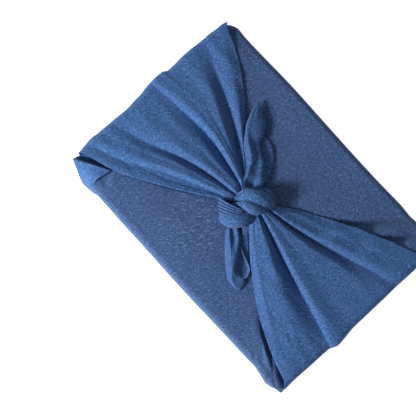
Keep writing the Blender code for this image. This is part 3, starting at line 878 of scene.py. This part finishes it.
def roll_edge(points, at_start, strength):
    """Folded-over edge: the cloth turns under itself and runs back below."""
    if not at_start:
        points = points[:, ::-1]
    edge = points[:, 0]
    step = edge - points[:, ROLL_LOOK]
    along = np.gradient(edge, axis=0)
    along /= np.maximum(np.linalg.norm(along, axis=1, keepdims=True), TINY)
    out = step - np.sum(step * along, axis=1, keepdims=True) * along
    out[:, 2] *= ROLL_TILT
    out /= np.maximum(np.linalg.norm(out, axis=1, keepdims=True), TINY)
    down = np.cross(along, out)
    inward = -edge / np.append(HALF_SIZE, FLAT_TOP)
    down *= np.where(np.sum(down * inward, axis=1, keepdims=True) < 0, -1.0, 1.0)
    size = ROLL_SIZE * strength[:, None]
    extra = []
    for turn in np.radians(ROLL_TURNS):
        extra.append(edge + size * (math.sin(turn) * out + (1 - math.cos(turn)) * down))
    for back in ROLL_BACK:
        extra.append(edge - out * back * strength[:, None] + 2.0 * size * down)
    points = np.concatenate([np.stack(extra[::-1], axis=1), points], axis=1)
    if not at_start:
        points = points[:, ::-1]
    return points


def build_fan(name, folds, reach, side, seed):
    """Fan with both its hems rolled; the roll thins out over the edge."""
    points = fan_surface(folds, reach, side, seed)
    strength = np.ones(len(points))
    strength[:GATHER_RINGS] = np.linspace(0.2, 1, GATHER_RINGS)
    strength[-WALL_RINGS:] = WALL_ROLL
    thinner = EDGE_RINGS + TUCK_RINGS
    strength[-WALL_RINGS - thinner:-WALL_RINGS] = np.linspace(1, WALL_ROLL, thinner)
    points = roll_edge(points, True, strength)
    points = roll_edge(points, False, strength * 0.7)
    if side > 0:
        points = points[:, ::-1]
    piece = grid_piece(name, points, unfolded_uv(points, 0))
    return place(piece, FAN_CLOTH)


# Core
def core_rim():
    """Rim of the core: X, Y, drop of the top and where the drop begins."""
    table = np.array([row[1:] for row in CORE_RIM + CORE_RIM[:1]], float)
    plan = table[:, :2]
    way = way_along(plan)
    places = np.linspace(0, way[-1], CORE_COLS + 1)[:-1]
    # rows from the other end go before and after, so that the curve closes
    closed_plan = np.concatenate([plan[-3:-1], plan, plan[1:3]])
    closed_way = np.concatenate([way[-3:-1] - way[-1], way, way[-1] + way[1:3]])
    rim = curve(closed_way, closed_plan, places)
    return rim, np.interp(places, way, table[:, 2]), np.interp(places, way, table[:, 3])


def core_top(rim, drop, begin):
    """Grid of the core's top, from its middle to the rounded edge."""
    share = np.linspace(CORE_HOLE, 1, CORE_RINGS)[:, None]
    goal = pulled_in(rim, EDGE_ROUND)
    x = goal[:, 0] * share
    y = goal[:, 1] * share
    fall = drop * np.clip((share - begin) / (1 - begin), 0, 1) ** 1.2
    z = FLAT_TOP - CORE_SINK - fall + PANEL_RELIEF * ripple(x, y, 11, 52.0)
    z = z + small_folds(PANEL_FOLDS, x, y) - slit_depth(x, y)
    return np.stack([x, y, z], axis=-1)


def core_wall(rim, wall_top):
    """Rings of the walls, which lean in to the foot, and of its rounding."""
    foot = drawn_to(rim, CORE_FOOT)
    rings = []
    for level in np.linspace(1, 0, CORE_WALL_RINGS + 1)[1:]:
        height = FOOT_ROUND + (wall_top - FOOT_ROUND) * level
        rings.append(ring_at(foot * (1 - level) + rim * level, height))
    for turn in np.radians(FOOT_TURNS):
        plan = pulled_in(foot, FOOT_ROUND * (1 - math.cos(turn)))
        rings.append(ring_at(plan, np.full(len(rim), FOOT_ROUND * (1 - math.sin(turn)))))
    return rings


def build_core():
    """Closed wrap over the box: top, rounded edges, walls and underside."""
    rim, drop, begin = core_rim()
    top = core_top(rim, drop, begin)
    edge_top = top[-1, :, 2]
    rings = list(top)
    rings += edge_rings(rim, edge_top, np.radians(np.linspace(0, 90, CORE_EDGE_RINGS + 1)[1:]))
    rings += core_wall(rim, edge_top - EDGE_ROUND)
    base = rings[-1]
    for share in UNDERSIDE_SHARES:
        rings.append(base * (share, share, 1))
    points = np.array(rings)
    piece = grid_piece("cloth_body", points, unfolded_uv(points, 1), closed=True)
    return place(piece, PANEL_CLOTH)


# Low flap
def low_rim(x):
    """Y of the core's low rim at X."""
    spots = sorted((row[1], row[2]) for row in CORE_RIM if row[2] < LOW_SIDE)
    return np.interp(x, [spot[0] for spot in spots], [spot[1] for spot in spots])


def slit_depth(x, y):
    """The dark slit that opens along the right fan's low hem."""
    gap = (np.interp(x, HEM_X, HEM_Y) - y) / HEM_SLANT
    outside = np.exp(-(np.clip(gap - 0.5, 0, None) / SLIT_WIDTH) ** 2)
    below = smooth_step(-14.0, -6.0, gap)
    return SLIT_DEPTH * outside * below * smooth_step(*SLIT_OPENS, x)


def end_fall(across):
    """How far the flap's edge sinks at its two ends."""
    right = RIGHT_END_FALL * smooth_step(0.93, 1.0, across)
    return right + LEFT_END_FALL * smooth_step(0.05, 0.0, across)


def far_fall(x):
    """How far the flap's edge sinks towards the right corner."""
    return FAR_SLOPE * smooth_step(*FAR_SPAN, x)


def flap_wall(across):
    """Rings of the flap's wall, from the table up to the rounded edge."""
    rings = []
    for level in np.linspace(0, 1, FLAP_WALL_RINGS)[:-1]:
        left, right = FLAP_ENDS[0] * (1 - level) + FLAP_ENDS[1] * level
        x = left * (1 - across) + right * across
        uneven = ripple(x * 0.8, np.full_like(x, 40.0 * level), 21, 60.0)
        swell = FLAP_SWELL * math.sin(math.pi * level) + FLAP_WAVER * uneven
        y = (low_rim(x) - FLAP_LIFT - swell) * (1 - FLAP_LEAN * (1 - level) ** 2)
        wall_top = FLAP_TOP - EDGE_ROUND - FLAP_CROWN - end_fall(across) - far_fall(x)
        rings.append(np.stack([x, y, WALL_END + (wall_top - WALL_END) * level], axis=-1))
    return rings


def flap_edge(across):
    """Rings of the flap's rounded edge, from the wall to the top."""
    left, right = FLAP_ENDS[1]
    x = left * (1 - across) + right * across
    edge_top = FLAP_TOP - FLAP_CROWN - end_fall(across) - far_fall(x)
    rings = []
    for turn in np.radians(np.linspace(90, 0, FLAP_EDGE_RINGS)):
        y = low_rim(x) - FLAP_LIFT + EDGE_ROUND * (1 - math.sin(turn))
        rings.append(np.stack([x, y, edge_top - EDGE_ROUND * (1 - math.cos(turn))], axis=-1))
    return rings


def flap_top(across):
    """Rings of the flap's top, from the rounded edge in below the fans."""
    shares = np.linspace(0, FLAP_SHARES[-1], FLAP_TOP_RINGS)
    spans = curve(FLAP_SHARES[1:], FLAP_ENDS[1:], shares)
    rings = []
    for share, (left, right) in zip(shares[1:], spans[1:]):
        x = left * (1 - across) + right * across
        y_rim = low_rim(x) - FLAP_LIFT + EDGE_ROUND
        y = y_rim * (1 - share)
        fall = end_fall(across) * max(0.0, 1 - share / 0.10)
        fall = fall + far_fall(x) * max(0.0, 1 - share / 0.25) ** 1.6
        fall = fall + FLAP_CROWN * np.clip(1 - (y - y_rim) / CROWN_WIDTH, 0, 1) ** 2
        dip = np.exp(-((x - left - DIP_PLACE) / DIP_WIDTH) ** 2) * smooth_step(0.0, 0.08, share)
        z = FLAP_TOP - fall - FLAP_DIP * dip - slit_depth(x, y)
        rings.append(np.stack([x, y, z + PANEL_RELIEF * ripple(x, y, 26, 46.0)], axis=-1))
    return rings


def build_flap():
    """Plain flap over the low side: wall, rounded edge and flat top."""
    across = np.linspace(0, 1, FLAP_COLS)
    points = np.array(flap_wall(across) + flap_edge(across) + flap_top(across))
    strength = np.ones(len(points))
    strength[:FLAP_WALL_RINGS] = np.linspace(0.2, 1, FLAP_WALL_RINGS)
    points = roll_edge(points, True, strength)
    piece = grid_piece("flap_low", points, unfolded_uv(points, 1))
    return place(piece, LOW_CLOTH)


# Knot
def band_points(rows, seed, pleats):
    """Rings of one band of the knot and their thread directions."""
    table = np.array(rows, float)
    table[:, :2] = from_knot(table[:, 0], table[:, 1])
    at = np.linspace(0, len(table) - 1, (len(table) - 1) * BAND_STEPS + 1)
    data = curve(np.arange(len(table)), table, at)
    close = np.sqrt(np.clip(np.minimum(at, at[-1] - at) / BAND_TAPER, 0.02, 1))
    angles = np.linspace(0, 2 * math.pi, BAND_SIDES, endpoint=False)
    way = way_along(data[:, :3])
    points = []
    uv = []
    for i, row in enumerate(data):
        forward = data[min(i + 1, len(data) - 1), :3] - data[max(i - 1, 0), :3]
        forward = forward / np.linalg.norm(forward)
        across = np.cross(forward, (0.0, 0.0, 1.0))
        across /= np.linalg.norm(across)
        up = np.cross(across, forward)
        folds = 1 + pleats * np.sin(angles * 9 + seed + 0.12 * way[i]) * np.clip(np.sin(angles), 0, 1)
        folds = folds + 0.5 * pleats * np.sin(angles * 5 - seed - 0.2 * way[i])
        w = row[3] * close[i] * folds
        t = row[4] * close[i] * folds
        ring = row[:3] + across * (w * np.cos(angles))[:, None] + up * (t * np.sin(angles))[:, None]
        points.append(ring)
        uv.append(np.stack([np.full(BAND_SIDES, way[i] * MM), angles * row[3] * MM], axis=-1))
    return np.array(points), np.array(uv)


def build_knot():
    """The lobes of the knot, its core and the pleats between the lobes."""
    bands = dict(KNOT_BANDS)
    first = np.array(PLEAT_FIRST)
    last = np.array(PLEAT_LAST)
    for share, letter in zip(np.linspace(0, 1, len(PLEAT_LETTERS)), PLEAT_LETTERS):
        bands["knot_pleat_" + letter] = first * (1 - share) + last * share
    for number, (name, rows) in enumerate(bands.items()):
        points, uv = band_points(rows, number * 1.7, BAND_RUFFLES.get(name, OTHER_RUFFLE))
        piece = grid_piece(name, points, uv, closed=True, caps=True)
        place(piece, KNOT_CLOTH)


# Ears and corner folds
def cloth_strip(name, grid, material):
    """Thin cloth through a grid of points, its weave laid out at its own flat size."""
    steps = np.linalg.norm(np.diff(grid, axis=1), axis=2)
    across = np.concatenate([np.zeros((len(grid), 1)), np.cumsum(steps, axis=1)], axis=1)
    along = way_along(grid[:, grid.shape[1] // 2])
    uv = np.stack([across, np.repeat(along[:, None], grid.shape[1], axis=1)], axis=-1) * MM
    piece = grid_piece(name, grid, uv, thick=CLOTH_THICK)
    place(piece, material)


def build_ear(name, table, seed):
    """Free ear of the cloth through the sections of its table."""
    data = np.array([row[1:] for row in table], float)
    over = np.array((0.0,) + EAR_SHARES)
    a = data[:, 2:3] + (data[:, 3:4] - data[:, 2:3]) * over
    a = np.concatenate([data[:, 1:2], a], axis=1)
    b = np.repeat(data[:, :1], a.shape[1], axis=1)
    sections = np.concatenate([from_knot(a, b), data[:, 4:, None]], axis=2)
    rows, cols = a.shape
    at = np.linspace(0, rows - 1, (rows - 1) * EAR_STEPS + 1)
    grid = curve(np.arange(rows), sections.reshape(rows, -1), at).reshape(len(at), cols, 3)
    over = np.linspace(0, cols - 1, (cols - 1) * EAR_CROSS_STEPS + 1)
    grid = np.array([curve(np.arange(cols), ring, over) for ring in grid])
    wrinkle = EAR_RELIEF * ripple(grid[..., 0], grid[..., 1], seed, 11.0)
    grid[..., 2] += wrinkle * np.clip(np.minimum(at, at[-1] - at)[:, None] * 2, 0, 1)
    cloth_strip(name, grid, KNOT_CLOTH)


def build_corner(name, table, seed, material):
    """Fold that stands at a low corner, each section crowned in its middle."""
    data = np.array([row[1:] for row in table], float)
    at = np.linspace(0, len(table) - 1, (len(table) - 1) * EAR_STEPS + 1)
    rows = curve(np.arange(len(table)), data, at)[:, None]
    over = np.linspace(0, 1, CORNER_POINTS)[:, None]
    grid = rows[..., :3] * (1 - over) + rows[..., 3:6] * over
    grid[..., 2] += rows[..., 6] * np.sin(math.pi * over[:, 0])
    grid[..., 2] += CORNER_RELIEF * ripple(grid[..., 0], grid[..., 1], seed, 18.0)
    cloth_strip(name, grid, material)


def main():
    """Builds every piece of the wrap and gives it its cloth."""
    core = build_core()
    low = build_flap()
    left = build_fan("fan_left", LEFT_FOLDS, LEFT_REACH, -1, 31)
    right = build_fan("fan_right", RIGHT_FOLDS, RIGHT_REACH, 1, 41)
    build_knot()
    build_ear("ear_upper", UPPER_EAR, 51)
    build_ear("ear_under", EAR_UNDER, 55)
    build_ear("ear_lower", LOWER_EAR, 61)
    build_ear("ear_leaf", EAR_LEAF, 71)
    build_ear("ear_strip", EAR_STRIP, 81)
    # The left corner fold takes the fan's lighter copy of the cloth: painted light on the face that is
    # turned to the lamp
    build_corner("corner_left", LEFT_CORNER, 91, FAN_CLOTH)
    build_corner("corner_right", RIGHT_CORNER, 95, PANEL_CLOTH)


# Stage
def camera_axes():
    """Directions of image right, image up and back to the camera."""
    rise = math.radians(CAMERA_RISE)
    right = Vector((math.cos(TURN), math.sin(TURN), 0.0))
    back = Vector((math.sin(TURN) * math.cos(rise), -math.cos(TURN) * math.cos(rise), math.sin(rise)))
    return right, back.cross(right), back


def add_camera():
    """Camera at the photo's angle."""
    right, up, back = camera_axes()
    data = bpy.data.cameras.new("camera")
    data.sensor_width = SENSOR_WIDTH
    data.lens = CAMERA_AWAY * SENSOR_WIDTH / VIEW_WIDTH
    data.clip_start = 0.05
    data.clip_end = 20.0
    camera = bpy.data.objects.new("camera", data)
    spot = Vector(CAMERA_AIM) + back * CAMERA_AWAY
    camera.matrix_world = Matrix((
        (right.x, up.x, back.x, spot.x * MM),
        (right.y, up.y, back.y, spot.y * MM),
        (right.z, up.z, back.z, spot.z * MM),
        (0.0, 0.0, 0.0, 1.0),
    ))
    bpy.context.scene.collection.objects.link(camera)
    bpy.context.scene.camera = camera


def add_key_light():
    """Soft lamp at the image's left, rather low."""
    right, up, _ = camera_axes()
    flat_up = Vector((up.x, up.y, 0.0)).normalized()
    way = (right * KEY_TOWARD[0] + flat_up * KEY_TOWARD[1] + Vector((0, 0, KEY_TOWARD[2]))).normalized()
    data = bpy.data.lights.new("key", "AREA")
    data.shape = "DISK"
    data.size = KEY_SIZE
    data.energy = KEY_POWER
    lamp = bpy.data.objects.new("key", data)
    lamp.location = way * KEY_AWAY
    lamp.rotation_euler = way.to_track_quat("Z", "Y").to_euler()
    bpy.context.scene.collection.objects.link(lamp)


def add_floor():
    """White floor that the parcel lies on; it glows, painted light that washes out the parcel's shadow.
    """
    mesh = bpy.data.meshes.new("floor")
    far = FLOOR_REACH
    corners = [(-far, -far, 0), (far, -far, 0), (far, far, 0), (-far, far, 0)]
    mesh.from_pydata(corners, [], [(0, 1, 2, 3)])
    floor = bpy.data.objects.new("floor", mesh)
    bpy.context.scene.collection.objects.link(floor)
    material = bpy.data.materials.new("floor_white")
    material.use_nodes = True
    shader = material.node_tree.nodes["Principled BSDF"]
    shader.inputs["Base Color"].default_value = FLOOR_TONE
    shader.inputs["Roughness"].default_value = 0.9
    shader.inputs["Specular IOR Level"].default_value = 0.1
    # Glow of the floor: painted light that fills the parcel's shadow and lights the parcel from below
    shader.inputs["Emission Color"].default_value = WHITE
    shader.inputs["Emission Strength"].default_value = FLOOR_GLOW
    mesh.materials.append(material)


def add_studio():
    """Even white light from all round."""
    world = bpy.data.worlds.new("studio")
    bpy.context.scene.world = world
    world.use_nodes = True
    background = world.node_tree.nodes["Background"]
    background.inputs["Color"].default_value = WHITE
    background.inputs["Strength"].default_value = STUDIO_LIGHT
    bpy.context.scene.view_settings.view_transform = "Standard"


# Lit and shaded copies of the one cloth: the fan copy is painted lighter and bluer, and the panel, low
# and knot copies are painted darker and greyer
FAN_CLOTH = cloth_material("blue_cotton_fan", FAN_TONE, 0.10)
PANEL_CLOTH = cloth_material("blue_cotton_panel", PANEL_TONE, 0.85)
LOW_CLOTH = cloth_material("blue_cotton_low", LOW_TONE, 0.65)
KNOT_CLOTH = cloth_material("blue_cotton_knot", KNOT_TONE, 0.10)

main()
add_floor()
add_studio()
add_camera()
add_key_light()
